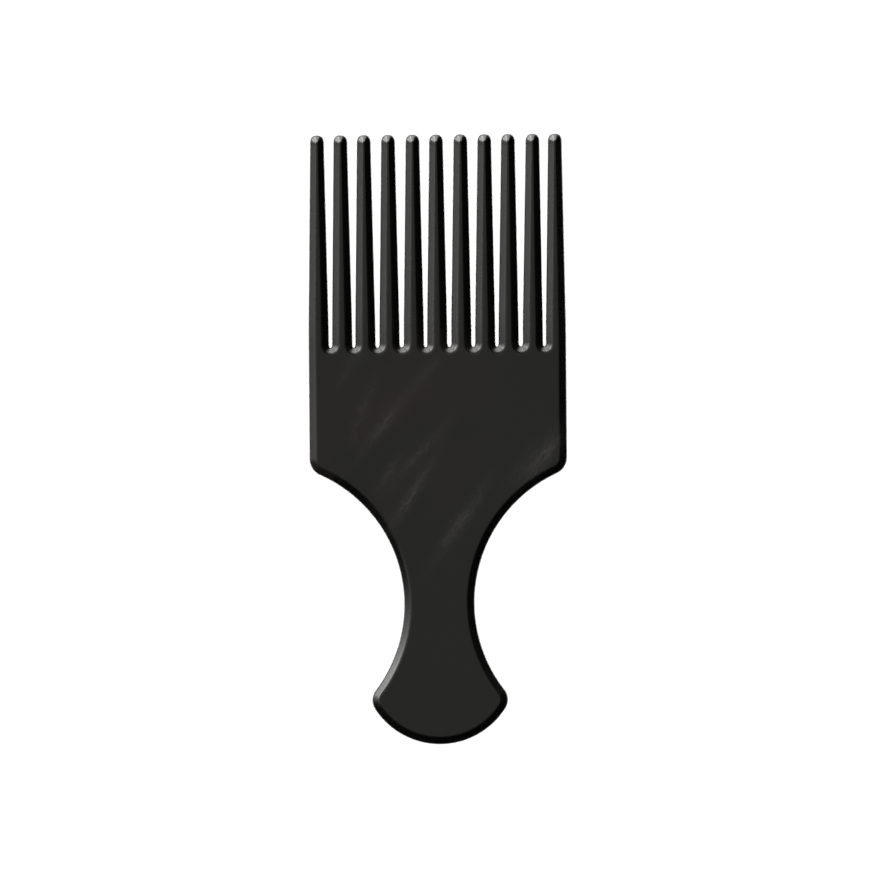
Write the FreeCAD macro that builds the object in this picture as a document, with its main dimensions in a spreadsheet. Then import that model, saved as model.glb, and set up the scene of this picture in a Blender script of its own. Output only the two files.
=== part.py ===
import FreeCAD, Part
import math
import os
import Sketcher
from FreeCAD import Vector as V

# A moulded hair pick that lies flat on its back.
# Frame: millimetres. +Y runs from the handle to the tooth tips, +X across the teeth, +Z out of the front face.
# Origin: middle of the outline's bounding rectangle, on the plane of the back face.

doc = FreeCAD.newDocument("hair_pick")

# ---------------------------------------------------------------- driving dimensions
sheet = doc.addObject("Spreadsheet::Sheet", "dims")
ROWS = [
    # whole object
    ("half_length", 82.6, "half of the overall length, handle end to tooth tips"),
    ("plate_thick", 4.4, "thickness of the blade and the handle"),
    # blade and handle outline
    ("blade_half", 34.84, "half width of the blade"),
    ("shoulder_rad", 4.8, "outside corner between the blade's side and the shoulder"),
    ("waist_rad", 38.64, "hollow arc from the shoulder through the waist to the flare"),
    ("waist_cx", 48.09, "centre of that arc, across"),
    ("waist_cy", -44.53, "centre of that arc, along"),
    ("flare_rad", 4.4, "outside corner of the flared end"),
    ("end_rad", 20.94, "arc of the handle's end"),
    # edge treatment, the same all round and on both faces
    ("bevel_wide", 1.75, "width of the bevel, seen square on to the face"),
    ("bevel_angle", 31.5, "tilt of the bevel from the face, degrees"),
    ("face_blend", 2.4, "round between the bevel and the face"),
    ("edge_round", 0.5, "round between the bevel and the side wall"),
    # where the regions of the moulding meet
    ("tooth_cut", 26.2, "plane where the teeth meet the blade"),
    ("handle_cut", -25.4, "plane where the blade meets the handle"),
    # gaps and teeth
    ("gap_floor", 25.0, "lowest point of the gap between two teeth"),
    ("gap_nose", 0.75, "radius at the lowest point of the gap, as a share of half the gap's width"),
    ("gap_turn", 26.0, "how far the gap's wall has turned inwards where that radius starts, degrees"),
    ("root_wide", 5.32, "width of a tooth at the blade"),
    ("tip_wide", 3.6, "width of a tooth where its round end starts"),
    ("tip_wall", 0.5, "half height of the side wall where the round end starts"),
    ("tip_blend", 0.75, "round along the ridge where the round end starts"),
    ("tip_flat", 0.03, "half width of the flat left on the ridge there"),
]
ROOT_X = [-32.18, -25.80, -19.50, -12.96, -6.36, -0.03, 6.52, 12.99, 19.34, 25.91, 32.18]
TIP_X = [-32.24, -25.90, -19.55, -12.97, -6.33, 0.05, 6.66, 13.15, 19.55, 26.20, 32.27]
for n, x in enumerate(ROOT_X, 1):
    ROWS.append(("root_x_%02d" % n, x, "centre of tooth %d at the blade" % n))
for n, x in enumerate(TIP_X, 1):
    ROWS.append(("tip_x_%02d" % n, x, "centre of tooth %d at its tip" % n))
for row, (alias, value, note) in enumerate(ROWS, 1):
    sheet.set("A%d" % row, alias)
    sheet.set("B%d" % row, repr(float(value)))
    sheet.setAlias("B%d" % row, alias)
    sheet.set("C%d" % row, note)
doc.recompute()


def size(alias):
    return float(sheet.get(alias))


COUNT = len(ROOT_X)
TILT = math.radians(size("bevel_angle"))

# ---------------------------------------------------------------- helpers


def new_body(label):
    body = doc.addObject("PartDesign::Body", label)
    body.Label = label
    return body


def origin_plane(body, role):
    for feature in body.Origin.OriginFeatures:
        if feature.Role == role:
            return feature
    raise RuntimeError("no plane " + role)


def new_sketch(body, name, role):
    sketch = body.newObject("Sketcher::SketchObject", name)
    sketch.AttachmentSupport = [(origin_plane(body, role), "")]
    sketch.MapMode = "FlatFace"
    return sketch


def bind(sketch, index, name, expression):
    sketch.renameConstraint(index, name)
    sketch.setExpression("Constraints." + name, expression)


def solved(sketch):
    code = sketch.solve()
    if code != 0:
        raise RuntimeError("%s: solver code %d" % (sketch.Name, code))
    if not sketch.FullyConstrained:
        raise RuntimeError("%s: not fully constrained" % sketch.Name)


# ---------------------------------------------------------------- plate: blade and handle in one outline
plate = new_body("plate")

hw, r1, rw = size("blade_half"), size("shoulder_rad"), size("waist_rad")
wx, wy = size("waist_cx"), size("waist_cy")
r2, r3 = size("flare_rad"), size("end_rad")
y_end = -size("half_length") + r3
y_top = size("tooth_cut")

# shoulder corner: tangent to the side and, from outside, to the waist arc
c1x = hw - r1
c1y = wy + math.sqrt((rw + r1) ** 2 - (wx - c1x) ** 2)
# flare corner: tangent from outside to the waist arc and from inside to the end arc
ra, rb = rw + r2, r3 - r2
dx, dy = -wx, y_end - wy
dist = math.hypot(dx, dy)
along = (ra * ra - rb * rb + dist * dist) / (2 * dist)
side = math.sqrt(ra * ra - along * along)
ex, ey = dx / dist, dy / dist
options = [(wx + ex * along - ey * side, wy + ey * along + ex * side), (wx + ex * along + ey * side, wy + ey * along - ex * side)]
c2x, c2y = max(options)


def toward(ax, ay, bx, by, reach):
    d = math.hypot(bx - ax, by - ay)
    return (ax + (bx - ax) * reach / d, ay + (by - ay) * reach / d)


t1 = toward(c1x, c1y, wx, wy, r1)
t2 = toward(wx, wy, c2x, c2y, rw)
t3 = toward(0.0, y_end, c2x, c2y, r3)


def arc(cx, cy, rad, start, end):
    """Counter-clockwise arc from the point start to the point end."""
    a = math.atan2(start[1] - cy, start[0] - cx)
    b = math.atan2(end[1] - cy, end[0] - cx)
    if b < a:
        b += 2 * math.pi
    return Part.ArcOfCircle(Part.Circle(V(cx, cy, 0), V(0, 0, 1), rad), a, b)


def line(p, q):
    return Part.LineSegment(V(p[0], p[1], 0), V(q[0], q[1], 0))


def flip(p):
    return (-p[0], p[1])


outline = new_sketch(plate, "plate_outline", "XY_Plane")
g = {}
g["top"] = outline.addGeometry(line((hw, y_top), (-hw, y_top)))
g["left"] = outline.addGeometry(line((-hw, y_top), (-hw, c1y)))
g["shoulder_l"] = outline.addGeometry(arc(-c1x, c1y, r1, (-hw, c1y), flip(t1)))
g["waist_l"] = outline.addGeometry(arc(-wx, wy, rw, flip(t2), flip(t1)))
g["flare_l"] = outline.addGeometry(arc(-c2x, c2y, r2, flip(t2), flip(t3)))
g["end"] = outline.addGeometry(arc(0, y_end, r3, flip(t3), t3))
g["flare_r"] = outline.addGeometry(arc(c2x, c2y, r2, t3, t2))
g["waist_r"] = outline.addGeometry(arc(wx, wy, rw, t1, t2))
g["shoulder_r"] = outline.addGeometry(arc(c1x, c1y, r1, t1, (hw, c1y)))
g["right"] = outline.addGeometry(line((hw, c1y), (hw, y_top)))
C = Sketcher.Constraint
for a, b in [
    (("top", 2), ("left", 1)),
    (("right", 2), ("top", 1)),
]:
    outline.addConstraint(C("Coincident", g[a[0]], a[1], g[b[0]], b[1]))
for a, b in [
    (("left", 2), ("shoulder_l", 1)),
    (("shoulder_l", 2), ("waist_l", 2)),
    (("waist_l", 1), ("flare_l", 1)),
    (("flare_l", 2), ("end", 1)),
    (("end", 2), ("flare_r", 1)),
    (("flare_r", 2), ("waist_r", 2)),
    (("waist_r", 1), ("shoulder_r", 1)),
    (("shoulder_r", 2), ("right", 1)),
]:
    outline.addConstraint(C("Tangent", g[a[0]], a[1], g[b[0]], b[1]))
outline.addConstraint(C("Vertical", g["left"]))
outline.addConstraint(C("Vertical", g["right"]))
for name in ("shoulder", "waist", "flare"):
    outline.addConstraint(C("Equal", g[name + "_l"], g[name + "_r"]))
outline.addConstraint(C("Symmetric", g["waist_l"], 3, g["waist_r"], 3, -2))
outline.addConstraint(C("Symmetric", g["top"], 1, g["top"], 2, -2))
outline.addConstraint(C("PointOnObject", g["end"], 3, -2))
bind(outline, outline.addConstraint(C("DistanceX", -1, 1, g["top"], 1, hw)), "half_w", "dims.blade_half")
bind(outline, outline.addConstraint(C("DistanceY", -1, 1, g["top"], 1, y_top)), "cut_y", "dims.tooth_cut")
bind(outline, outline.addConstraint(C("Radius", g["shoulder_r"], r1)), "shoulder", "dims.shoulder_rad")
bind(outline, outline.addConstraint(C("Radius", g["waist_r"], rw)), "waist", "dims.waist_rad")
bind(outline, outline.addConstraint(C("DistanceX", -1, 1, g["waist_r"], 3, wx)), "waist_x", "dims.waist_cx")
bind(outline, outline.addConstraint(C("DistanceY", g["waist_r"], 3, -1, 1, -wy)), "waist_y", "-dims.waist_cy")
bind(outline, outline.addConstraint(C("Radius", g["flare_r"], r2)), "flare", "dims.flare_rad")
bind(outline, outline.addConstraint(C("Radius", g["end"], r3)), "end_r", "dims.end_rad")
bind(outline, outline.addConstraint(C("DistanceY", g["end"], 3, -1, 1, -y_end)), "end_y", "dims.half_length - dims.end_rad")
solved(outline)

plate_pad = plate.newObject("PartDesign::Pad", "plate_pad")
plate_pad.Profile = outline
plate_pad.setExpression("Length", "dims.plate_thick")

# the ten gap bottoms: straight walls that draw in on two wide arcs and end in a tight one
slots = new_sketch(plate, "gap_outline", "XY_Plane")
floor = size("gap_floor")
half_root = size("root_wide") / 2
over = y_top + 2.0
turn_in = math.radians(size("gap_turn"))
for n in range(1, COUNT):
    xl, xr = ROOT_X[n - 1] + half_root, ROOT_X[n] - half_root
    half_gap, mid = (xr - xl) / 2, (xl + xr) / 2
    nose = size("gap_nose") * half_gap
    draw = (half_gap - nose * math.cos(turn_in)) / (1 - math.cos(turn_in))
    yn = floor + nose
    yd = yn + (draw - nose) * math.sin(turn_in)
    meet_l = (mid - nose * math.cos(turn_in), yn - nose * math.sin(turn_in))
    meet_r = (mid + nose * math.cos(turn_in), yn - nose * math.sin(turn_in))
    wall_l = slots.addGeometry(line((xl, over), (xl, yd)))
    draw_l = slots.addGeometry(arc(xl + draw, yd, draw, (xl, yd), meet_l))
    nose_ = slots.addGeometry(arc(mid, yn, nose, meet_l, meet_r))
    draw_r = slots.addGeometry(arc(xr - draw, yd, draw, meet_r, (xr, yd)))
    wall_r = slots.addGeometry(line((xr, yd), (xr, over)))
    lid = slots.addGeometry(line((xr, over), (xl, over)))
    slots.addConstraint(C("Tangent", wall_l, 2, draw_l, 1))
    slots.addConstraint(C("Tangent", draw_l, 2, nose_, 1))
    slots.addConstraint(C("Tangent", nose_, 2, draw_r, 1))
    slots.addConstraint(C("Tangent", draw_r, 2, wall_r, 1))
    slots.addConstraint(C("Coincident", wall_r, 2, lid, 1))
    slots.addConstraint(C("Coincident", lid, 2, wall_l, 1))
    slots.addConstraint(C("Vertical", wall_l))
    slots.addConstraint(C("Vertical", wall_r))
    slots.addConstraint(C("Horizontal", lid))
    slots.addConstraint(C("Equal", draw_l, draw_r))
    half_x = "(dims.root_x_%02d - dims.root_x_%02d - dims.root_wide) / 2" % (n + 1, n)
    bind(slots, slots.addConstraint(C("DistanceX", -1, 1, wall_l, 1, xl)), "wall_l_%02d" % n, "dims.root_x_%02d + dims.root_wide / 2" % n)
    bind(slots, slots.addConstraint(C("DistanceX", -1, 1, wall_r, 2, xr)), "wall_r_%02d" % n, "dims.root_x_%02d - dims.root_wide / 2" % (n + 1))
    bind(slots, slots.addConstraint(C("DistanceX", -1, 1, nose_, 3, mid)), "middle_%02d" % n, "(dims.root_x_%02d + dims.root_x_%02d) / 2" % (n, n + 1))
    bind(slots, slots.addConstraint(C("DistanceY", -1, 1, nose_, 3, yn)), "floor_%02d" % n, "dims.gap_floor + dims.gap_nose * %s" % half_x)
    bind(slots, slots.addConstraint(C("Radius", nose_, nose)), "nose_%02d" % n, "dims.gap_nose * %s" % half_x)
    bind(slots, slots.addConstraint(C("Radius", draw_l, draw)), "draw_%02d" % n,
         "%s * (1 - dims.gap_nose * cos(dims.gap_turn * 1 deg)) / (1 - cos(dims.gap_turn * 1 deg))" % half_x)
    bind(slots, slots.addConstraint(C("DistanceY", -1, 1, lid, 1, over)), "lid_%02d" % n, "dims.tooth_cut + 2")
solved(slots)

plate_gaps = plate.newObject("PartDesign::Pocket", "plate_gaps")
plate_gaps.Profile = slots
plate_gaps.Type = "ThroughAll"
plate_gaps.Midplane = True
doc.recompute()
if plate_gaps.Shape.Volume > plate_pad.Shape.Volume - 30:
    raise RuntimeError("the gap bottoms cut nothing")


def rim_edges(shape, z_wanted, skip_y):
    """Names of the edges of the outline at the height z_wanted, leaving out those in the plane y = skip_y.
    Every one has the flat face as its first neighbour, so that the bevel's two widths fall on the right sides."""
    names = []
    for i, edge in enumerate(shape.Edges, 1):
        box = edge.BoundBox
        if abs(box.ZMin - z_wanted) > 1e-6 or abs(box.ZMax - z_wanted) > 1e-6:
            continue
        if abs(box.YMin - skip_y) < 1e-6 and abs(box.YMax - skip_y) < 1e-6:
            continue
        first = shape.ancestorsOfType(edge, Part.Face)[0]
        if abs(first.normalAt(0, 0).z) > 0.5:
            names.append("Edge%d" % i)
    return names


thick = size("plate_thick")
base = plate_gaps.Shape
rim = rim_edges(base, 0.0, y_top) + rim_edges(base, thick, y_top)
plate_bevel = plate.newObject("PartDesign::Chamfer", "plate_bevel")
plate_bevel.Base = (plate_gaps, rim)
plate_bevel.ChamferType = "Two distances"
plate_bevel.setExpression("Size", "dims.bevel_wide")
plate_bevel.setExpression("Size2", "dims.bevel_wide * tan(dims.bevel_angle * 1 deg)")
doc.recompute()
drop = size("bevel_wide") * math.tan(TILT)


def level_edges(shape, heights, skip_y):
    names = []
    for i, edge in enumerate(shape.Edges, 1):
        box = edge.BoundBox
        if abs(box.YMin - skip_y) < 1e-6 and abs(box.YMax - skip_y) < 1e-6:
            continue
        if any(abs(box.ZMin - z) < 1e-5 and abs(box.ZMax - z) < 1e-5 for z in heights):
            names.append("Edge%d" % i)
    return names


plate_round = plate.newObject("PartDesign::Fillet", "plate_round")
plate_round.Base = (plate_bevel, level_edges(plate_bevel.Shape, (drop, thick - drop), y_top))
plate_round.setExpression("Radius", "dims.edge_round")
doc.recompute()

plate_blend = plate.newObject("PartDesign::Fillet", "plate_blend")
plate_blend.Base = (plate_round, level_edges(plate_round.Shape, (0.0, thick), y_top))
plate_blend.setExpression("Radius", "dims.face_blend")
doc.recompute()

# the plate is divided once, straight across the neck, into the blade and the handle
reach = 120.0
upper = doc.addObject("Part::Box", "upper_region")
upper.setExpression("Placement.Base.y", "dims.handle_cut")
lower = doc.addObject("Part::Box", "lower_region")
lower.setExpression("Placement.Base.y", "dims.handle_cut - %g" % reach)
for region in (upper, lower):
    region.Length = reach
    region.Width = reach
    region.Height = 20
    region.setExpression("Placement.Base.x", "%g" % (-reach / 2))
    region.setExpression("Placement.Base.z", "-5")
blade = doc.addObject("Part::Common", "blade")
blade.Base, blade.Tool, blade.Label = plate, upper, "blade"
handle = doc.addObject("Part::Common", "handle")
handle.Base, handle.Tool, handle.Label = plate, lower, "handle"

# ---------------------------------------------------------------- teeth
TAN_HALF = "tan(dims.bevel_angle * 0.5 deg)"
TAN = "tan(dims.bevel_angle * 1 deg)"
# direction of the bevel line in each quarter, going round counter-clockwise
LEAN = {
    (1, 1): "180 deg - dims.bevel_angle * 1 deg",
    (-1, 1): "180 deg + dims.bevel_angle * 1 deg",
    (-1, -1): "-dims.bevel_angle * 1 deg",
    (1, -1): "dims.bevel_angle * 1 deg",
}


def quarter_points(wide, tall, wall, edge_rad, ridge_rad):
    """One quarter of a tooth's cross-section: side wall, round, bevel, blend and flat.
    wide and tall are half sizes, wall is the half height where the bevel would meet the side wall."""
    n_side, n_face = (1.0, 0.0), (0.0, 1.0)
    n_bevel = (math.sin(TILT), math.cos(TILT))
    reach_bevel = wide * n_bevel[0] + wall * n_bevel[1]

    def tangent_arc(na, da, nb, db, rad):
        # centre at distance rad inside both lines n . p = d
        det = na[0] * nb[1] - na[1] * nb[0]
        pa, pb = da - rad, db - rad
        cx = (pa * nb[1] - pb * na[1]) / det
        cy = (na[0] * pb - nb[0] * pa) / det
        return (cx, cy), (cx + na[0] * rad, cy + na[1] * rad), (cx + nb[0] * rad, cy + nb[1] * rad)

    c_edge, e0, e1 = tangent_arc(n_side, wide, n_bevel, reach_bevel, edge_rad)
    c_ridge, f0, f1 = tangent_arc(n_bevel, reach_bevel, n_face, tall, ridge_rad)
    return reach_bevel, c_edge, e0, e1, c_ridge, f0, f1


def section(body, name, x_cell, y_expr, half):
    """Section sketch of a tooth, whole or only its right half, centred on the tooth."""
    sketch = new_sketch(body, name, "XZ_Plane")
    sketch.setExpression("AttachmentOffset.Base.x", "dims." + x_cell)
    sketch.setExpression("AttachmentOffset.Base.y", "dims.plate_thick / 2")
    sketch.setExpression("AttachmentOffset.Base.z", y_expr)
    at_root = name.endswith("root")
    if at_root:
        wide, rad = size("root_wide") / 2, size("face_blend")
        tall = thick / 2
        wall = tall - drop
        wide_x = "dims.root_wide / 2"
        rad_x = "dims.face_blend"
        tall_x = "dims.plate_thick / 2"
        wall_x = "(dims.plate_thick / 2 - dims.bevel_wide * %s)" % TAN
    else:
        wide, rad = size("tip_wide") / 2, size("tip_blend")
        wall = size("tip_wall")
        tall = wall + (wide - rad * math.tan(TILT / 2) - size("tip_flat")) * math.tan(TILT)
        wide_x = "dims.tip_wide / 2"
        rad_x = "dims.tip_blend"
        wall_x = "dims.tip_wall"
        tall_x = "dims.tip_wall + (dims.tip_wide / 2 - dims.tip_blend * %s - dims.tip_flat) * %s" % (TAN_HALF, TAN)
    bevel_x = "%s * sin(dims.bevel_angle * 1 deg) + %s * cos(dims.bevel_angle * 1 deg)" % (wide_x, wall_x)
    edge = size("edge_round")
    reach_b, c_e, e0, e1, c_r, f0, f1 = quarter_points(wide, tall, wall, edge, rad)
    # going round counter-clockwise
    geo = []
    tags = []

    def add(kind, shape, tag=None):
        geo.append(sketch.addGeometry(shape))
        tags.append((kind, tag))

    def m(p, sx, sy):
        return (p[0] * sx, p[1] * sy)

    if half:
        add("axis", line((0, tall), (0, -tall)), None)
        add("face", line((0, -tall), m(f1, 1, -1)), (1, -1))
        add("ridge", arc(c_r[0], -c_r[1], rad, m(f1, 1, -1), m(f0, 1, -1)), (1, -1))
        add("bevel", line(m(f0, 1, -1), m(e1, 1, -1)), (1, -1))
        add("edge", arc(c_e[0], -c_e[1], edge, m(e1, 1, -1), m(e0, 1, -1)), (1, -1))
        add("side", line(m(e0, 1, -1), e0), (1, 1))
        add("edge", arc(c_e[0], c_e[1], edge, e0, e1), (1, 1))
        add("bevel", line(e1, f0), (1, 1))
        add("ridge", arc(c_r[0], c_r[1], rad, f0, f1), (1, 1))
        add("face", line(f1, (0, tall)), (1, 1))
    else:
        add("side", line(m(e0, 1, -1), e0), (1, 1))
        add("edge", arc(c_e[0], c_e[1], edge, e0, e1), (1, 1))
        add("bevel", line(e1, f0), (1, 1))
        add("ridge", arc(c_r[0], c_r[1], rad, f0, f1), (1, 1))
        add("face", line(f1, m(f1, -1, 1)), (1, 1))
        add("ridge", arc(-c_r[0], c_r[1], rad, m(f1, -1, 1), m(f0, -1, 1)), (-1, 1))
        add("bevel", line(m(f0, -1, 1), m(e1, -1, 1)), (-1, 1))
        add("edge", arc(-c_e[0], c_e[1], edge, m(e1, -1, 1), m(e0, -1, 1)), (-1, 1))
        add("side", line(m(e0, -1, 1), m(e0, -1, -1)), (-1, 1))
        add("edge", arc(-c_e[0], -c_e[1], edge, m(e0, -1, -1), m(e1, -1, -1)), (-1, -1))
        add("bevel", line(m(e1, -1, -1), m(f0, -1, -1)), (-1, -1))
        add("ridge", arc(-c_r[0], -c_r[1], rad, m(f0, -1, -1), m(f1, -1, -1)), (-1, -1))
        add("face", line(m(f1, -1, -1), m(f1, 1, -1)), (1, -1))
        add("ridge", arc(c_r[0], -c_r[1], rad, m(f1, 1, -1), m(f0, 1, -1)), (1, -1))
        add("bevel", line(m(f0, 1, -1), m(e1, 1, -1)), (1, -1))
        add("edge", arc(c_e[0], -c_e[1], edge, m(e1, 1, -1), m(e0, 1, -1)), (1, -1))
    count = len(geo)
    for k in range(count):
        a, b = k, (k + 1) % count
        kind = "Coincident" if "axis" in (tags[a][0], tags[b][0]) else "Tangent"
        sketch.addConstraint(C(kind, geo[a], 2, geo[b], 1))
    first = {}
    labels = {"side": 0, "bevel": 0, "face": 0}
    for k, (kind, tag) in enumerate(tags):
        if kind == "side":
            sketch.addConstraint(C("Vertical", geo[k]))
            labels["side"] += 1
            bind(sketch, sketch.addConstraint(C("Distance", -1, 1, geo[k], wide)), "side_%d" % labels["side"], wide_x)
        elif kind == "face":
            sketch.addConstraint(C("Horizontal", geo[k]))
            labels["face"] += 1
            bind(sketch, sketch.addConstraint(C("Distance", -1, 1, geo[k], tall)), "face_%d" % labels["face"], tall_x)
        elif kind == "bevel":
            labels["bevel"] += 1
            bind(sketch, sketch.addConstraint(C("Distance", -1, 1, geo[k], reach_b)), "bevel_%d" % labels["bevel"], bevel_x)
            start, stop = sketch.Geometry[geo[k]].StartPoint, sketch.Geometry[geo[k]].EndPoint
            turn = math.atan2(stop.y - start.y, stop.x - start.x)
            bind(sketch, sketch.addConstraint(C("Angle", geo[k], turn)), "tilt_%d" % labels["bevel"], LEAN[tag])
        elif kind == "axis":
            sketch.addConstraint(C("PointOnObject", geo[k], 1, -2))
            sketch.addConstraint(C("PointOnObject", geo[k], 2, -2))
        elif kind in first:
            sketch.addConstraint(C("Equal", first[kind], geo[k]))
        else:
            first[kind] = geo[k]
            radius_x = rad_x if kind == "ridge" else "dims.edge_round"
            bind(sketch, sketch.addConstraint(C("Radius", geo[k], rad if kind == "ridge" else edge)), kind + "_rad", radius_x)
    solved(sketch)
    return sketch


teeth = []
TIP_PLANE = "-(dims.half_length - dims.tip_wide / 2)"
for n in range(1, COUNT + 1):
    label = "tooth_%02d" % n
    tooth = new_body(label)
    root = section(tooth, label + "_root", "root_x_%02d" % n, "-dims.tooth_cut", False)
    tip = section(tooth, label + "_tip", "tip_x_%02d" % n, TIP_PLANE, False)
    shaft = tooth.newObject("PartDesign::AdditiveLoft", label + "_shaft")
    shaft.Profile = root
    shaft.Sections = [tip]
    shaft.Ruled = True
    # the round end is half of the tip section, turned half way round the tooth's upright centre line
    nose = section(tooth, label + "_nose", "tip_x_%02d" % n, TIP_PLANE, True)
    end = tooth.newObject("PartDesign::Revolution", label + "_end")
    end.Profile = nose
    end.ReferenceAxis = (nose, ["V_Axis"])
    end.Angle = 180
    teeth.append(tooth)
doc.recompute()

# ---------------------------------------------------------------- checks, then the files
nodes = [blade, handle] + teeth
for thing in doc.Objects:
    if "Invalid" in thing.State or "Error" in thing.State:
        raise RuntimeError("%s is in state %s" % (thing.Name, thing.State))
for node in nodes:
    shape = node.Shape
    if shape.isNull() or not shape.isValid() or len(shape.Solids) != 1:
        raise RuntimeError("%s has a bad shape" % node.Label)
for tooth in teeth:
    shaft = doc.getObject(tooth.Label + "_shaft")
    box = tooth.Shape.optimalBoundingBox(False)
    if tooth.Shape.Volume <= shaft.Shape.Volume + 1.0 or abs(box.YMax - size("half_length")) > 0.01:
        raise RuntimeError("%s: the round end points the wrong way" % tooth.Label)

os.makedirs("parts", exist_ok=True)
for node in nodes:
    node.Shape.exportStep("parts/%s.step" % node.Label)
for node in nodes:
    box = node.Shape.optimalBoundingBox(False)
    print("%-9s volume %9.2f  x %7.3f %7.3f  y %7.3f %7.3f  z %6.3f %6.3f  faces %d" % (
        node.Label, node.Shape.Volume, box.XMin, box.XMax, box.YMin, box.YMax, box.ZMin, box.ZMax, len(node.Shape.Faces)))
print("total volume %.1f mm3" % sum(node.Shape.Volume for node in nodes))
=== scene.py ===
import math

import bpy
from mathutils import Matrix, Vector


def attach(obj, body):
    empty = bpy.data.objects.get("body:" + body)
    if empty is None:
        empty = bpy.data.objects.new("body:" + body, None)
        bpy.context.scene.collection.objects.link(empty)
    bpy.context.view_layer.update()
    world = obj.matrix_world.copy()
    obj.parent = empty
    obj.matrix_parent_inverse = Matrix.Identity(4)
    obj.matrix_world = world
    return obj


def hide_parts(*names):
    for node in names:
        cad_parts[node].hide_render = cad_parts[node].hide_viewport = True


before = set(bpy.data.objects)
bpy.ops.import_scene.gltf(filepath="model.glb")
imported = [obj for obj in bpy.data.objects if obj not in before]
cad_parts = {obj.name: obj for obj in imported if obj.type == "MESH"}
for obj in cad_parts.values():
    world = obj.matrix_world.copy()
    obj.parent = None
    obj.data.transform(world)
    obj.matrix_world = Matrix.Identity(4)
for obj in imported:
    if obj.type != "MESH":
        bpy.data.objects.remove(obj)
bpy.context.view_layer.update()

scene = bpy.context.scene
MM = 0.001

# ---------------------------------------------------------------- camera, square on to the face
PX = 0.27116 * MM            # one pixel of the 876 pixel frame, on the object
LENS, SENSOR = 600.0, 36.0
FRAME_W = 876 * PX
DIST = FRAME_W * LENS / SENSOR
cam_data = bpy.data.cameras.new("camera")
cam_data.type = "PERSP"
cam_data.lens = LENS
cam_data.sensor_width = SENSOR
cam_data.clip_start, cam_data.clip_end = 0.05, 60.0
cam = bpy.data.objects.new("camera", cam_data)
scene.collection.objects.link(cam)
TURN = math.radians(-0.45)   # the pick leans a little to the left in the frame
aim = Vector((-0.14 * PX, 1.45 * PX, 0.0))
cam.location = (aim.x, aim.y, DIST + 2.2 * MM)
cam.rotation_euler = (0.0, 0.0, TURN)
scene.camera = cam

# ---------------------------------------------------------------- shape of the moulding, in millimetres
THICK = 4.4
HALF_LENGTH, BLADE_HALF = 82.6, 34.84
SHOULDER_RAD, WAIST_RAD, FLARE_RAD, END_RAD = 4.8, 38.64, 4.4, 20.94
WAIST_X, WAIST_Y = 48.09, -44.53
BEVEL_WIDE, BEVEL, FACE_BLEND, EDGE_ROUND = 1.75, math.radians(31.5), 2.4, 0.5
TOOTH_CUT, HANDLE_CUT = 26.2, -25.4
GAP_FLOOR, GAP_NOSE, GAP_TURN = 25.0, 0.75, math.radians(26.0)
ROOT_HALF, TIP_HALF, TIP_WALL, TIP_BLEND, TIP_FLAT = 2.66, 1.8, 0.5, 0.75, 0.03
TIP_Y, TIP_POWER = 80.40, 2.5       # where the round end starts, and how square it is (2 is a circle)
ROOT_X = [-32.18, -25.80, -19.50, -12.96, -6.36, -0.03, 6.52, 12.99, 19.34, 25.91, 32.18]
TIP_X = [-32.24, -25.90, -19.55, -12.97, -6.33, 0.05, 6.66, 13.15, 19.55, 26.20, 32.27]
SEAM_HALF, SEAM_PROUD = 0.10, 0.035  # the line left by the two mould halves, half way up the side wall


def half_profile(tall, wall, width, blend, flat=None):
    """Section of one edge from the middle of the thickness to the face: (inset, height, tilt of the surface from the
    face). wall is the height where the bevel would meet the side wall, tall that of the face, both from the middle."""
    points = []
    # the line left by the mould halves
    for k in range(5):
        f = k / 4
        points.append((-SEAM_PROUD * (0.5 + 0.5 * math.cos(math.pi * f)), SEAM_HALF * f,
                       math.pi / 2 - math.atan(SEAM_PROUD * 0.5 * math.pi / SEAM_HALF * math.sin(math.pi * f))))
    reach = EDGE_ROUND * math.tan((math.pi / 2 - BEVEL) / 2)
    for k in range(2):
        f = (k + 1) / 2
        points.append((0.0, SEAM_HALF + (wall - reach - SEAM_HALF) * f, math.pi / 2))
    for k in range(1, 8):
        tilt = math.pi / 2 + (BEVEL - math.pi / 2) * k / 7
        points.append((EDGE_ROUND - EDGE_ROUND * math.sin(tilt), wall - reach + EDGE_ROUND * math.cos(tilt), tilt))
    meet = (tall - wall) / math.tan(BEVEL)            # inset where the bevel would meet the face
    back = blend * math.tan(BEVEL / 2)
    start = points[-1]
    end = (meet + back - blend * math.sin(BEVEL), tall - blend + blend * math.cos(BEVEL))
    for k in range(1, 5):
        f = k / 4
        points.append((start[0] + (end[0] - start[0]) * f, start[1] + (end[1] - start[1]) * f, BEVEL))
    for k in range(1, 11):
        tilt = BEVEL * (1 - k / 10)
        points.append((meet + back - blend * math.sin(tilt), tall - blend + blend * math.cos(tilt), tilt))
    return points


def full_profile(half):
    """From the back face to the front face: (inset, height from the middle, outward part, upward part)."""
    front = [(d, z, math.sin(t), math.cos(t)) for d, z, t in half]
    back = [(d, -z, s, -c) for d, z, s, c in reversed(front[1:])]
    return back + front


DROP = BEVEL_WIDE * math.tan(BEVEL)
PLATE = full_profile(half_profile(THICK / 2, THICK / 2 - DROP, BLADE_HALF, FACE_BLEND))
TIP_TALL = TIP_WALL + (TIP_HALF - TIP_BLEND * math.tan(BEVEL / 2) - TIP_FLAT) * math.tan(BEVEL)
TIP = full_profile(half_profile(TIP_TALL, TIP_WALL, TIP_HALF, TIP_BLEND))
LAST = len(PLATE) - 1


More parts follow.
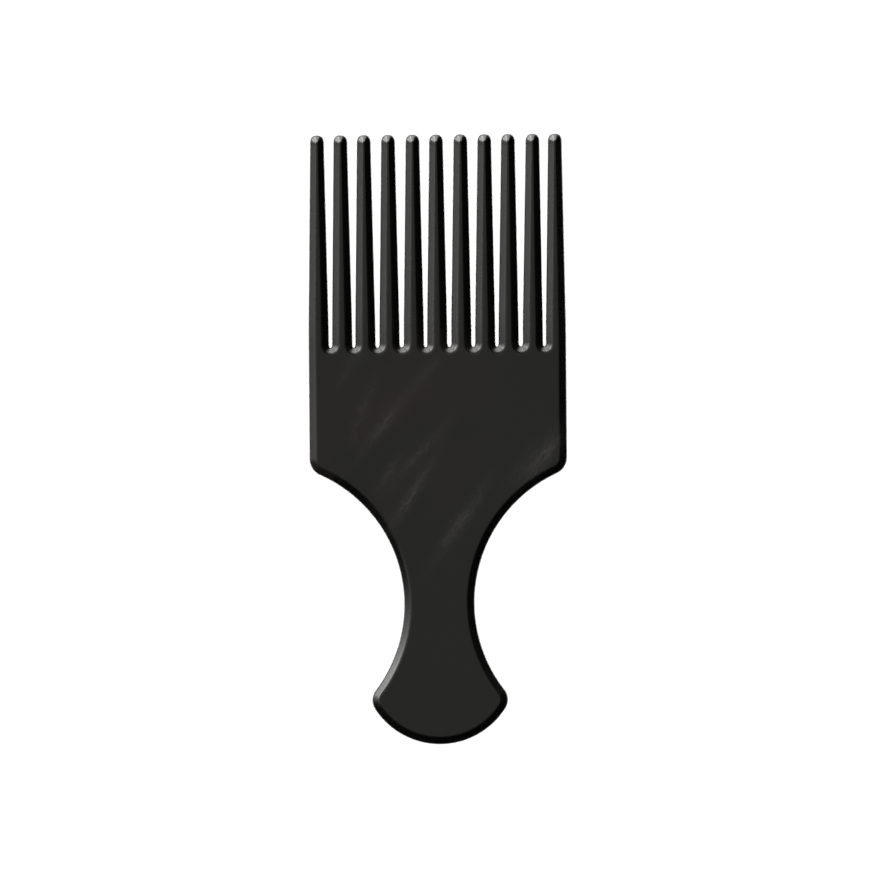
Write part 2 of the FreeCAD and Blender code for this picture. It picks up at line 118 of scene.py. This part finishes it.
class Solid:
    """Vertices with their own normals, and faces; a face in flat is shaded flat."""

    def __init__(self):
        self.verts, self.normals, self.faces, self.flat = [], [], [], []

    def point(self, co, normal):
        self.verts.append((co[0] * MM, co[1] * MM, co[2] * MM))
        self.normals.append(Vector(normal).normalized())
        return len(self.verts) - 1

    def face(self, indices, flat=False):
        self.faces.append(indices)
        self.flat.append(flat)

    def grid(self, rows, skip=()):
        for a, b in zip(rows, rows[1:]):
            for j in range(len(a) - 1):
                quad = [a[j], b[j], b[j + 1], a[j + 1]]
                quad = [v for k, v in enumerate(quad) if v not in quad[:k]]
                self.face(quad)

    def build(self, name):
        mesh = bpy.data.meshes.new(name)
        mesh.from_pydata(self.verts, [], self.faces)
        mesh.update()
        for poly in mesh.polygons:
            poly.use_smooth = True
        loops = []
        for poly, flat in zip(mesh.polygons, self.flat):
            for v in poly.vertices:
                loops.append(poly.normal.copy() if flat else self.normals[v])
        mesh.normals_split_custom_set(loops)
        mesh.update()
        obj = bpy.data.objects.new(name, mesh)
        scene.collection.objects.link(obj)
        return obj


def strip(solid, path):
    """Sweeps the plate's edge section along a path. Each stop is a function of the inset that gives the place and
    the outward direction there."""
    rows = []
    for stop in path:
        row = []
        for inset, z, out, up in PLATE:
            (x, y), (nx, ny) = stop(inset)
            row.append(solid.point((x, y, z + THICK / 2), (nx * out, ny * out, up)))
        rows.append(row)
    solid.grid(rows)
    return rows


def on_line(x, y, nx):
    return lambda inset: ((x - nx * inset, y), (nx, 0.0))


def on_arc(cx, cy, rad, angle, hollow=False):
    """angle is that of the outward direction, or a function of the section's own radius."""
    def stop(inset):
        r = rad + inset if hollow else rad - inset
        a = angle(r) if callable(angle) else angle
        if hollow:
            return (cx - r * math.cos(a), cy - r * math.sin(a)), (math.cos(a), math.sin(a))
        return (cx + r * math.cos(a), cy + r * math.sin(a)), (math.cos(a), math.sin(a))
    return stop


def spread(a, b, n, first=True):
    return [a + (b - a) * k / n for k in range(0 if first else 1, n + 1)]


c1x = BLADE_HALF - SHOULDER_RAD
c1y = WAIST_Y + math.sqrt((WAIST_RAD + SHOULDER_RAD) ** 2 - (WAIST_X - c1x) ** 2)
end_y = -HALF_LENGTH + END_RAD
ra, rb = WAIST_RAD + FLARE_RAD, END_RAD - FLARE_RAD
dx, dy = -WAIST_X, end_y - WAIST_Y
gap_d = math.hypot(dx, dy)
along = (ra * ra - rb * rb + gap_d * gap_d) / (2 * gap_d)
side = math.sqrt(ra * ra - along * along)
c2x, c2y = max((WAIST_X + dx / gap_d * along - dy / gap_d * side, WAIST_Y + dy / gap_d * along + dx / gap_d * side),
               (WAIST_X + dx / gap_d * along + dy / gap_d * side, WAIST_Y + dy / gap_d * along - dx / gap_d * side))
turn_1 = math.atan2(WAIST_Y - c1y, WAIST_X - c1x)      # outward direction where shoulder and waist meet
turn_2 = math.atan2(WAIST_Y - c2y, WAIST_X - c2x)      # and where waist and flare meet
turn_3 = math.atan2(c2y - end_y, c2x)                  # and where flare and end meet


def cut_angle(r):
    """Outward direction on the waist arc of radius r where it crosses the plane between blade and handle."""
    return -math.asin((HANDLE_CUT - WAIST_Y) / r)


def ease_angle(f, fixed):
    """Between the crossing, which depends on the radius, and a fixed direction."""
    return lambda r: cut_angle(r) + (fixed - cut_angle(r)) * f


def mirrored(stops):
    """The same stops on the left side, in the order that keeps the material on the left."""
    def flip(stop):
        def other(inset):
            (x, y), (nx, ny) = stop(inset)
            return (-x, y), (-nx, ny)
        return other
    return [flip(s) for s in reversed(stops)]


# blade: right side upwards, the gap bottoms from right to left, left side downwards
blade = Solid()
right = [on_arc(WAIST_X, WAIST_Y, WAIST_RAD, ease_angle(f, turn_1), True) for f in spread(0, 1, 24)]
right += [on_arc(c1x, c1y, SHOULDER_RAD, a) for a in spread(turn_1, 0.0, 26, False)]
right += [on_line(BLADE_HALF, y, 1.0) for y in spread(c1y, TOOTH_CUT, 8, False)]
strips = [strip(blade, right)]
for n in range(len(ROOT_X) - 1, 0, -1):
    xl, xr = ROOT_X[n - 1] + ROOT_HALF, ROOT_X[n] - ROOT_HALF
    half_gap, mid = (xr - xl) / 2, (xl + xr) / 2
    nose = GAP_NOSE * half_gap
    draw = (half_gap - nose * math.cos(GAP_TURN)) / (1 - math.cos(GAP_TURN))
    nose_y = GAP_FLOOR + nose
    draw_y = nose_y + (draw - nose) * math.sin(GAP_TURN)
    path = [on_line(xr, y, -1.0) for y in spread(TOOTH_CUT, draw_y, 1)]
    path += [on_arc(xr - draw, draw_y, draw, a, True) for a in spread(math.pi, math.pi - GAP_TURN, 6, False)]
    path += [on_arc(mid, nose_y, nose, a, True) for a in spread(math.pi - GAP_TURN, GAP_TURN, 28, False)]
    path += [on_arc(xl + draw, draw_y, draw, a, True) for a in spread(GAP_TURN, 0.0, 6, False)]
    path += [on_line(xl, TOOTH_CUT, 1.0)]
    strips.append(strip(blade, path))
strips.append(strip(blade, mirrored(right)))
blade.face([row[LAST] for rows in strips for row in rows])
blade.face([row[0] for rows in reversed(strips) for row in reversed(rows)])
for k, rows in enumerate(strips):
    before = strips[k - 1][-1]
    blade.face(rows[0] + before[::-1], flat=True)

# handle: from the left crossing down the left side, round the end and up the right side
handle = Solid()
down = [on_arc(WAIST_X, WAIST_Y, WAIST_RAD, ease_angle(f, turn_2), True) for f in spread(0, 1, 44)]
down += [on_arc(c2x, c2y, FLARE_RAD, a) for a in spread(turn_2, turn_3, 26, False)]
down += [on_arc(0.0, end_y, END_RAD, a) for a in spread(turn_3, -math.pi / 2, 36, False)]
left_side = [s for s in mirrored(down)]
rows = strip(handle, left_side[::-1] + down[::-1][1:])
handle.face([row[LAST] for row in rows])
handle.face([row[0] for row in reversed(rows)])
handle.face(rows[0] + rows[-1][::-1], flat=True)


def eased(u, start=0.14, end=0.03):
    """From 0 to 1 at one slope, with the slope let in and out, and the slope itself."""
    k = 1 / (1 - start / 2 - end / 2)
    if u < start:
        return k * u * u / (2 * start), k * u / start
    if u > 1 - end:
        rest = 1 - u
        return 1 - k * rest * rest / (2 * end), k * rest / end
    return k * (u - start / 2), k


def make_tooth(root_x, tip_x):
    tooth = Solid()
    reach = TIP_Y - TOOTH_CUT
    steps = sorted(set(spread(0, 0.14, 8) + spread(0.14, 0.97, 12) + spread(0.97, 1.0, 4)))
    rings = []
    for u in steps:
        t, slope = eased(u)
        slope /= reach
        centre, lean = root_x + (tip_x - root_x) * t, (tip_x - root_x) * slope
        right_row, left_row = [], []
        for (da, za, out, up), (db, zb, _, _) in zip(PLATE, TIP):
            xa, xb = ROOT_HALF - da, TIP_HALF - db
            x, z = xa + (xb - xa) * t, za + (zb - za) * t
            grow, rise = (xb - xa) * slope, (zb - za) * slope
            y = TOOTH_CUT + reach * u
            right_row.append(tooth.point((centre + x, y, THICK / 2 + z), (out, -(out * (grow + lean) + up * rise), up)))
            left_row.append(tooth.point((centre - x, y, THICK / 2 + z), (-out, -(out * (grow - lean) + up * rise), up)))
        rise = (TIP[-1][1] - PLATE[-1][1]) * slope
        z = PLATE[-1][1] + (TIP[-1][1] - PLATE[-1][1]) * t
        back = tooth.point((centre, TOOTH_CUT + reach * u, THICK / 2 - z), (0, -rise, -1))
        front = tooth.point((centre, TOOTH_CUT + reach * u, THICK / 2 + z), (0, -rise, 1))
        rings.append([back] + right_row + [front] + left_row[::-1] + [back])
    tooth.grid(rings)
    tooth.face(rings[0][:-1], flat=True)
    # the round end: the half section drawn in towards the tooth's centre line along a squarish curve
    half = len(PLATE) + 2
    count = 36
    columns = [rings[-1][:half]]
    top = HALF_LENGTH - TIP_Y
    for k in range(1, count):
        a = math.pi * k / count
        c, s = math.cos(a), math.sin(a)
        r = (abs(c) ** TIP_POWER + abs(s) ** TIP_POWER) ** (-1 / TIP_POWER)
        gx = math.copysign(abs(r * c) ** (TIP_POWER - 1), c)
        gy = abs(r * s) ** (TIP_POWER - 1) * TIP_HALF / top
        column = [rings[-1][0]]
        for inset, z, out, up in TIP:
            f = (TIP_HALF - inset) / TIP_HALF
            column.append(tooth.point((tip_x + f * TIP_HALF * r * c, TIP_Y + f * top * r * s, THICK / 2 + z), (out * gx, out * gy, up)))
        column.append(rings[-1][half - 1])
        columns.append(column)
    columns.append([rings[-1][0]] + rings[-1][half:-1][::-1] + [rings[-1][half - 1]])
    tooth.grid(columns)
    return tooth


pieces = []
for name, solid in [("blade", blade), ("handle", handle)] + [
        ("tooth_%02d" % n, make_tooth(a, b)) for n, (a, b) in enumerate(zip(ROOT_X, TIP_X), 1)]:
    piece = solid.build(name + "_skin")
    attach(piece, "root")
    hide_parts(name)
    pieces.append(piece)

# ---------------------------------------------------------------- floor and backdrop


def plain_material(name, colour, emit=0.0):
    mat = bpy.data.materials.new(name)
    mat.use_nodes = True
    bsdf = mat.node_tree.nodes["Principled BSDF"]
    bsdf.inputs["Base Color"].default_value = (*colour, 1.0)
    bsdf.inputs["Roughness"].default_value = 0.9
    bsdf.inputs["Specular IOR Level"].default_value = 0.0
    if emit:
        bsdf.inputs["Emission Color"].default_value = (1, 1, 1, 1)
        bsdf.inputs["Emission Strength"].default_value = emit
    return mat


def add_mesh(name, verts, faces, mat):
    mesh = bpy.data.meshes.new(name)
    mesh.from_pydata(verts, [], faces)
    mesh.update()
    mesh.materials.append(mat)
    obj = bpy.data.objects.new(name, mesh)
    scene.collection.objects.link(obj)
    return obj


HALF = 3.6
floor = add_mesh(
    "floor",
    [(-HALF, -HALF, -0.00003), (HALF, -HALF, -0.00003), (HALF, HALF, -0.00003), (-HALF, HALF, -0.00003)],
    [(0, 1, 2, 3)],
    plain_material("floor_white", (0.86, 0.86, 0.86)),
)
backdrop = add_mesh(
    "backdrop",
    [(-HALF, -HALF, -0.01), (HALF, -HALF, -0.01), (HALF, HALF, -0.01), (-HALF, HALF, -0.01),
     (-HALF, -HALF, 4.0), (HALF, -HALF, 4.0), (HALF, HALF, 4.0), (-HALF, HALF, 4.0)],
    [(0, 1, 5, 4), (1, 2, 6, 5), (2, 3, 7, 6), (3, 0, 4, 7), (4, 5, 6, 7)],
    plain_material("backdrop_white", (0.0, 0.0, 0.0), emit=1.05),
)
for stage_piece in (floor, backdrop):
    stage_piece.visible_diffuse = False
    stage_piece.visible_glossy = stage_piece is floor
    stage_piece.visible_transmission = False
    stage_piece.visible_shadow = False

# ---------------------------------------------------------------- lights
on_pick = bpy.data.collections.new("lit_pick")
for obj in pieces:
    on_pick.objects.link(obj)
on_floor = bpy.data.collections.new("lit_floor")
on_floor.objects.link(floor)


def softbox(name, azimuth, elevation, half_w, half_h, radiance, receivers, distance=30.0, colour=(1.0, 1.0, 1.0)):
    """Elliptical soft light at a direction seen from the pick, aimed at it. Half sizes in degrees."""
    a, e = math.radians(azimuth), math.radians(elevation)
    d = Vector((math.cos(a) * math.cos(e), math.sin(a) * math.cos(e), math.sin(e)))
    data = bpy.data.lights.new(name, "AREA")
    data.shape = "ELLIPSE"
    data.size = 2 * distance * math.tan(math.radians(half_w))
    data.size_y = 2 * distance * math.tan(math.radians(half_h))
    area = math.pi * data.size * data.size_y / 4
    data.energy = radiance * math.pi * area
    data.color = colour
    obj = bpy.data.objects.new(name, data)
    scene.collection.objects.link(obj)
    obj.location = d * distance
    obj.rotation_euler = d.to_track_quat("Z", "Y").to_euler()
    obj.light_linking.receiver_collection = receivers
    obj.visible_camera = False
    return obj


# the keys stand low behind the upper left of the pick, where the bevels mirror them to a viewer above; the matt face
# only gets a soft even sheen
KEY, TOP = (1.0, 1.0, 0.97), (1.0, 1.0, 0.91)
for k, (azimuth, elevation, half, radiance, colour) in enumerate([
    (152, 38, 12, 9.15, KEY),
    (114, 30, 14, 7.63, KEY),
    (86, 24, 16, 5.02, KEY),
    (142, 30, 14, 2.76, KEY),
    (66, 16, 18, 1.55, KEY),
    (156, 26, 18, 1.26, KEY),
    (172, 22, 14, 0.82, KEY),
    (180, 52, 16, 0.98, KEY),
    (60, 70, 14, 0.24, TOP),
], 1):
    softbox("soft_%02d" % k, azimuth, elevation, half, half, radiance, on_pick, colour=colour)

sun = bpy.data.lights.new("floor_light", "SUN")
sun.energy = 4.0
sun.angle = math.radians(8)
sun_obj = bpy.data.objects.new("floor_light", sun)
scene.collection.objects.link(sun_obj)
sun_obj.light_linking.receiver_collection = on_floor

world = bpy.data.worlds.new("world")
scene.world = world
world.use_nodes = True
world.node_tree.nodes["Background"].inputs["Color"].default_value = (0, 0, 0, 1)
world.node_tree.nodes["Background"].inputs["Strength"].default_value = 0.0

scene.view_settings.view_transform = "Standard"
scene.view_settings.look = "None"
scene.view_settings.exposure = 0.0
scene.view_settings.gamma = 1.0

# ---------------------------------------------------------------- material: black moulded plastic
mat = bpy.data.materials.new("black_plastic_moulded")
mat.use_nodes = True
nt = mat.node_tree
bsdf = nt.nodes["Principled BSDF"]
bsdf.inputs["IOR"].default_value = 1.5
MATT_FROM, MATT_TO = 0.968, 0.9995          # upright part of the surface's normal: bevel, face
BEVEL_ROUGH, FACE_ROUGH, TIP_ROUGH, RUB_ROUGH = 0.28, 0.56, 0.18, 0.08
FACE_SPEC, NOSE_SHINE, NOSE_ROUGH = 0.12, 0.5, 0.05
FACE_COLOUR = (0.018, 0.0179, 0.0164)
HAZE_COLOUR = (0.0243, 0.0200, 0.0184)
SCUFF_COLOUR = (0.052, 0.050, 0.046)


def node(kind, label="", **settings):
    made = nt.nodes.new(kind)
    made.label = label
    for key, value in settings.items():
        setattr(made, key, value)
    return made


def wire(source, target):
    nt.links.new(source, target)


def math_node(op, a, b=None, clamp=False):
    made = node("ShaderNodeMath", operation=op, use_clamp=clamp)
    for slot, value in zip(made.inputs, (a, b)):
        if value is None:
            continue
        if isinstance(value, (int, float)):
            slot.default_value = value
        else:
            wire(value, slot)
    return made.outputs[0]


def remap(value, a, b, c, d, smooth=False):
    made = node("ShaderNodeMapRange", interpolation_type="SMOOTHSTEP" if smooth else "LINEAR")
    wire(value, made.inputs["Value"])
    for key, v in zip(("From Min", "From Max", "To Min", "To Max"), (a, b, c, d)):
        made.inputs[key].default_value = v
    return made.outputs["Result"]


def noise(vector, scale, detail=2.0, rough=0.5):
    made = node("ShaderNodeTexNoise")
    wire(vector, made.inputs["Vector"])
    made.inputs["Scale"].default_value = scale
    made.inputs["Detail"].default_value = detail
    made.inputs["Roughness"].default_value = rough
    return made.outputs[0]


def mapped(vector, location=(0, 0, 0), turn=0.0, scale=(1, 1, 1), kind="TEXTURE"):
    made = node("ShaderNodeMapping", vector_type=kind)
    wire(vector, made.inputs["Vector"])
    made.inputs["Location"].default_value = location
    made.inputs["Rotation"].default_value = (0, 0, math.radians(turn))
    made.inputs["Scale"].default_value = scale
    return made.outputs[0]


coords = node("ShaderNodeTexCoord").outputs["Object"]
in_mm = mapped(coords, scale=(1000, 1000, 1000), kind="POINT")

# the marks wander a little
drift = node("ShaderNodeTexNoise")
wire(in_mm, drift.inputs["Vector"])
drift.inputs["Scale"].default_value = 0.42
drift.inputs["Detail"].default_value = 2.5
centred = node("ShaderNodeVectorMath", operation="SUBTRACT")
wire(drift.outputs["Color"], centred.inputs[0])
centred.inputs[1].default_value = (0.5, 0.5, 0.5)
sized = node("ShaderNodeVectorMath", operation="MULTIPLY")
wire(centred.outputs[0], sized.inputs[0])
sized.inputs[1].default_value = (2.6, 2.6, 0.0)
wandering = node("ShaderNodeVectorMath", operation="ADD")
wire(in_mm, wandering.inputs[0])
wire(sized.outputs[0], wandering.inputs[1])

# rub marks: middle in mm, direction and half length and half width, strength. The first list lies on the face that
# is up, the second on the other one.
FRONT_RUBS = [
    (-14.6, 4.3, 52, 8.0, 0.75, 0.98),
    (-19.9, 9.3, 68, 7.6, 0.80, 0.52),
    (-4.0, 17.3, 55, 4.4, 0.80, 0.46),
    (-1.2, 19.8, 60, 3.0, 0.75, 0.40),
    (-7.2, -14.7, 58, 9.2, 0.80, 1.12),
    (-5.3, -4.0, 47, 9.6, 0.90, 0.66),
    (4.9, -23.9, 55, 8.0, 0.95, 1.25),
    (11.4, -14.2, 57, 6.4, 0.90, 0.34),
    (28.4, -4.5, 51, 7.2, 1.25, 1.50),
    (22.0, -7.2, 54, 7.5, 1.00, 0.30),
    (-24.8, 18.2, 54, 4.6, 0.90, 0.28),
    (-22.6, 22.0, 14, 2.6, 0.80, 0.40),
    (-13.4, -8.8, 57, 5.4, 0.80, 0.60),
]
BACK_RUBS = [
    (9.5, 6.0, 118, 10.0, 0.85, 0.75),
    (-16.0, -2.0, 131, 8.0, 0.90, 0.50),
    (21.0, 14.0, 124, 7.0, 0.80, 0.45),
    (-2.0, -24.0, 112, 10.5, 0.80, 0.60),
    (3.5, -66.0, 97, 7.5, 0.95, 0.55),
    (-24.0, 13.0, 108, 6.0, 0.85, 0.35),
]
total = None
for height, marks in ((THICK, FRONT_RUBS), (0.0, BACK_RUBS)):
    for x, y, turn, half_long, half_wide, strength in marks:
        spot = mapped(wandering.outputs[0], (x, y, height), turn, (half_long * 3.2, half_wide * 4.6, 3.0))
        fade = node("ShaderNodeTexGradient", gradient_type="SPHERICAL")
        wire(spot, fade.inputs["Vector"])
        amount = math_node("MULTIPLY", math_node("POWER", fade.outputs["Fac"], 3.6), strength)
        total = amount if total is None else math_node("ADD", total, amount)
fibre = noise(mapped(in_mm, turn=55, scale=(2.2, 0.42, 1.0)), 1.0, 3.5, 0.68)
broken = remap(fibre, 0.34, 0.63, 0.08, 1.75)
rub = math_node("MULTIPLY", total, broken)

# the flat face came out of the mould matt, and the bevels smoother: rougher and less mirroring on the face. The face's
# paler colour against darker bevels is painted shade on the bevels, chosen by how upright the surface is
facing = node("ShaderNodeNewGeometry").outputs["Normal"]
split = node("ShaderNodeSeparateXYZ")
wire(facing, split.inputs[0])
level = math_node("ABSOLUTE", split.outputs["Z"])
matt_face_and_bevel_shade = remap(level, MATT_FROM, MATT_TO, 0.0, 1.0, smooth=True)
cloudy = noise(in_mm, 0.06, 3.0, 0.55)
speckle = noise(in_mm, 1.9, 4.0, 0.6)
place = node("ShaderNodeSeparateXYZ")
wire(in_mm, place.inputs[0])
polished = remap(place.outputs["Y"], TIP_Y - 0.9, TIP_Y + 0.9, 0.0, BEVEL_ROUGH - TIP_ROUGH, smooth=True)   # tips rubbed smooth in use
# the foremost part of each tip is worn shiny, most on its left
nose = math_node("MULTIPLY", remap(split.outputs["Y"], 0.26, 0.46, 0.0, 1.0, smooth=True),
                 remap(place.outputs["Y"], TIP_Y + 0.2, TIP_Y + 0.95, 0.0, 1.0, smooth=True))
nose = math_node("MULTIPLY", nose, remap(split.outputs["X"], -0.14, 0.06, 1.0, 0.25, smooth=True))
satin = math_node("SUBTRACT", remap(matt_face_and_bevel_shade, 0.0, 1.0, BEVEL_ROUGH, FACE_ROUGH), polished)
satin = math_node("SUBTRACT", satin, math_node("MULTIPLY", nose, NOSE_ROUGH))
roughness = math_node("ADD", satin, math_node("ADD", remap(cloudy, 0.3, 0.7, -0.015, 0.015), remap(speckle, 0.3, 0.7, -0.012, 0.012)))
roughness = math_node("ADD", roughness, math_node("MULTIPLY", rub, RUB_ROUGH))
wire(roughness, bsdf.inputs["Roughness"])
wire(math_node("ADD", remap(matt_face_and_bevel_shade, 0.0, 1.0, 0.5, FACE_SPEC), math_node("MULTIPLY", nose, NOSE_SHINE)), bsdf.inputs["Specular IOR Level"])

# colour: near black, with a faint warm haze of fine rubbing over the left of the blade
# painted shade: the bevels get a darker colour than the flat face, switched by the upright part of the normal
painted_bevel_shade = node("ShaderNodeMix", data_type="RGBA", blend_type="MIX")
wire(matt_face_and_bevel_shade, painted_bevel_shade.inputs[0])
painted_bevel_shade.inputs[6].default_value = (0.0021, 0.0021, 0.0019, 1)
painted_bevel_shade.inputs[7].default_value = (*FACE_COLOUR, 1)
haze_spot = node("ShaderNodeTexGradient", gradient_type="SPHERICAL")
wire(mapped(in_mm, (-14.0, 0.0, THICK), 55, (44.0, 28.0, 3.0)), haze_spot.inputs["Vector"])
haze = math_node("MULTIPLY", haze_spot.outputs["Fac"], remap(cloudy, 0.38, 0.58, 0.0, 1.0, smooth=True))
dusty = node("ShaderNodeMix", data_type="RGBA", blend_type="MIX")
wire(haze, dusty.inputs[0])
wire(painted_bevel_shade.outputs[2], dusty.inputs[6])
dusty.inputs[7].default_value = (*HAZE_COLOUR, 1)
scuffed = node("ShaderNodeMix", data_type="RGBA", blend_type="MIX")
wire(math_node("MINIMUM", math_node("MULTIPLY", rub, 0.5), 1.0), scuffed.inputs[0])
wire(dusty.outputs[2], scuffed.inputs[6])
scuffed.inputs[7].default_value = (*SCUFF_COLOUR, 1)
wire(scuffed.outputs[2], bsdf.inputs["Base Color"])

# relief: the fine grain of the mould, and hair lines in the rub marks
grain = noise(in_mm, 4.5, 3.0, 0.6)
lines = noise(mapped(in_mm, turn=55, scale=(6.0, 0.10, 1.0)), 1.0, 2.0, 0.6)
height = math_node("ADD", math_node("MULTIPLY", grain, 0.2), math_node("MULTIPLY", math_node("MULTIPLY", lines, rub), 0.9))
bump = node("ShaderNodeBump")
bump.inputs["Strength"].default_value = 1.0
bump.inputs["Distance"].default_value = 0.0000035
wire(height, bump.inputs["Height"])
wire(bump.outputs[0], bsdf.inputs["Normal"])

for piece in pieces:
    piece.data.materials.append(mat)
